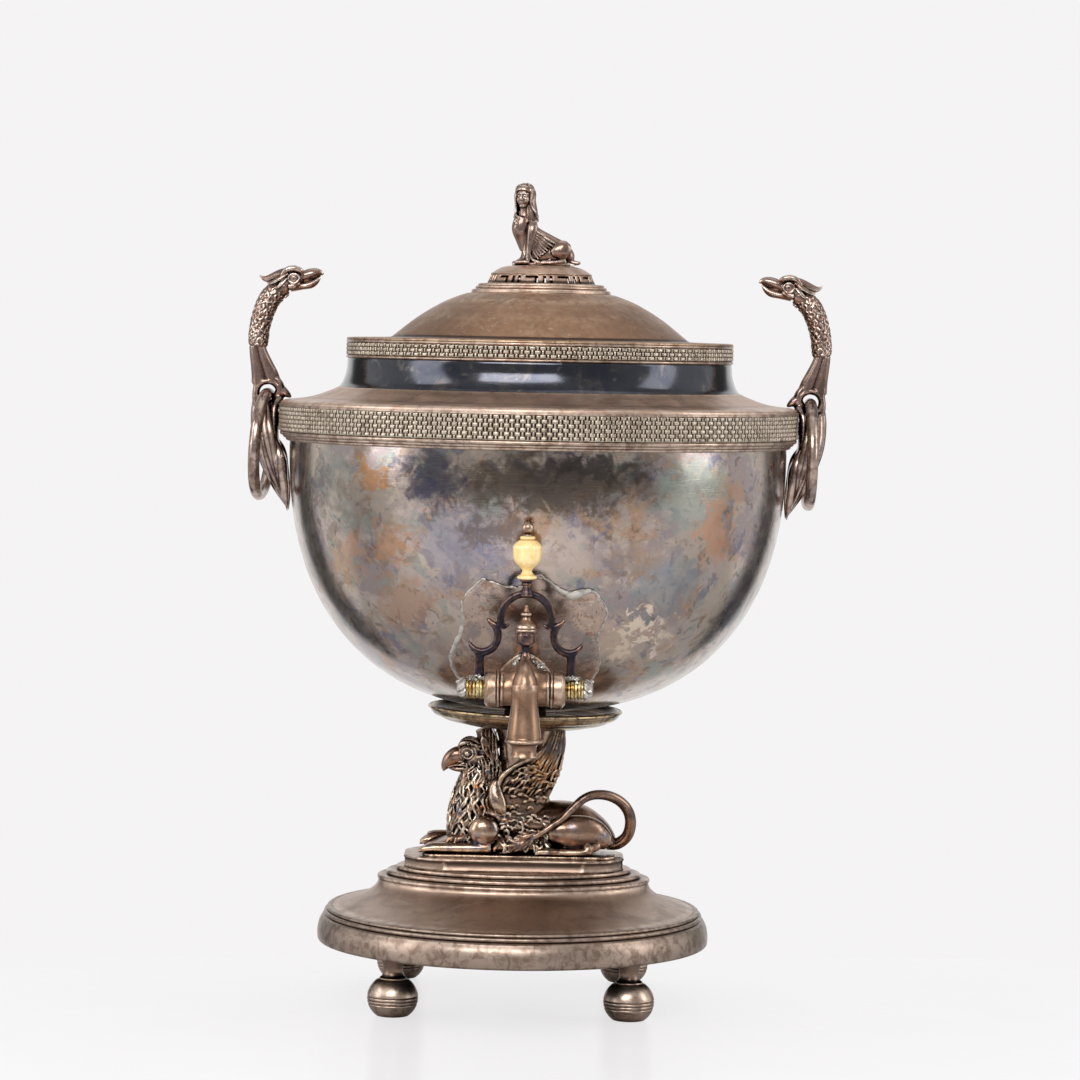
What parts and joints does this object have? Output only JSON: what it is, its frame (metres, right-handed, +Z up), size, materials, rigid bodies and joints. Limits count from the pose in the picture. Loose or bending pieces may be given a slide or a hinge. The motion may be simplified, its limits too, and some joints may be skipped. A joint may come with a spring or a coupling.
{
  "type": "samovar",
  "caption": "Round-bodied tea urn with domed lid, lever tap, eagle handles with hanging rings, griffin stem and stepped base on ball feet.",
  "frame": {"origin": "on the table, in the middle of the four feet", "axes": "+Z up through the urn, -Y the front with the tap, +X to the right seen from the front"},
  "size_m": [0.3034, 0.2953, 0.4257],
  "materials": {
    "worn_plate": "worn silver plate, warm tarnish",
    "tarnished_bowl": "heavily tarnished silver plate",
    "dark_polish": "polished dark tarnish",
    "dark_bronze": "cast, dark in the hollows",
    "copper_plate": "plate worn to the copper",
    "bare_brass": "turned, dull",
    "black_lever": "blackened cast metal with rubbed edges",
    "ivory_knob": "turned, ivory coloured, waxed",
    "tinned_iron": "tinned",
    "black_iron": "rough cast"
  },
  "bodies": {
    "urn": {"foot_front_left": "worn_plate", "foot_front_right": "worn_plate", "foot_rear_left": "worn_plate", "foot_rear_right": "worn_plate", "foot_nuts": "bare_brass", "base_plate": "copper_plate", "base_rim": "worn_plate", "base_cove": "worn_plate", "base_steps": "worn_plate", "plinth": "worn_plate", "griffin_body": "dark_bronze", "griffin_head": "dark_bronze", "griffin_wing_front": "dark_bronze", "griffin_wing_rear": "dark_bronze", "griffin_tail": "dark_bronze", "support_column": "dark_bronze", "tie_rod": "tinned_iron", "tie_washer": "tinned_iron", "tie_nut": "tinned_iron", "dish": "worn_plate", "bowl_boss": "copper_plate", "bowl": "tarnished_bowl", "shoulder_band": "worn_plate", "shoulder_plate": "worn_plate", "neck_collar": "dark_polish", "tap_patch": "worn_plate", "tap_body": "copper_plate", "tap_saddle": "copper_plate", "tap_backnut": "bare_brass", "tap_finial": "copper_plate", "barrel_cap_left": "copper_plate", "barrel_cap_right": "copper_plate", "handle_left": "worn_plate", "handle_right": "worn_plate", "eagle_left": "worn_plate", "eagle_right": "worn_plate", "handle_screws": "bare_brass", "heater_sleeve": "tinned_iron", "sleeve_cover": "tinned_iron", "heating_iron": "black_iron"},
    "lid": {"lid_band": "worn_plate", "lid_dome": "worn_plate", "lid_bezel": "worn_plate", "vent_cap": "worn_plate", "sphinx_base": "worn_plate", "sphinx": "worn_plate", "sphinx_nut": "bare_brass"},
    "lever": {"lever_plug": "bare_brass", "lever_yoke": "black_lever", "lever_nut_left": "bare_brass", "lever_nut_right": "bare_brass", "lever_collar": "black_lever", "lever_knob": "ivory_knob", "knob_rod": "tinned_iron", "knob_ball": "copper_plate"},
    "left_ring": {"ring_left": "worn_plate"},
    "right_ring": {"ring_right": "worn_plate"}
  },
  "joints": [
    {"name": "lid_lift", "type": "slide", "parent": "urn", "child": "lid", "axis": [0, 0, 1], "range_m": [0, 0.12]},
    {"name": "tap_lever", "type": "hinge", "parent": "urn", "child": "lever", "pos_m": [0.0044, -0.135, 0.1745], "axis": [1, 0, 0], "range_deg": [0, 90]},
    {"name": "left_ring_swing", "type": "hinge", "parent": "urn", "child": "left_ring", "pos_m": [-0.1324, 0, 0.3144], "axis": [0, 1, 0], "range_deg": [0, 110]},
    {"name": "right_ring_swing", "type": "hinge", "parent": "urn", "child": "right_ring", "pos_m": [0.1496, 0, 0.3144], "axis": [0, -1, 0], "range_deg": [-2, 110]}
  ]
}
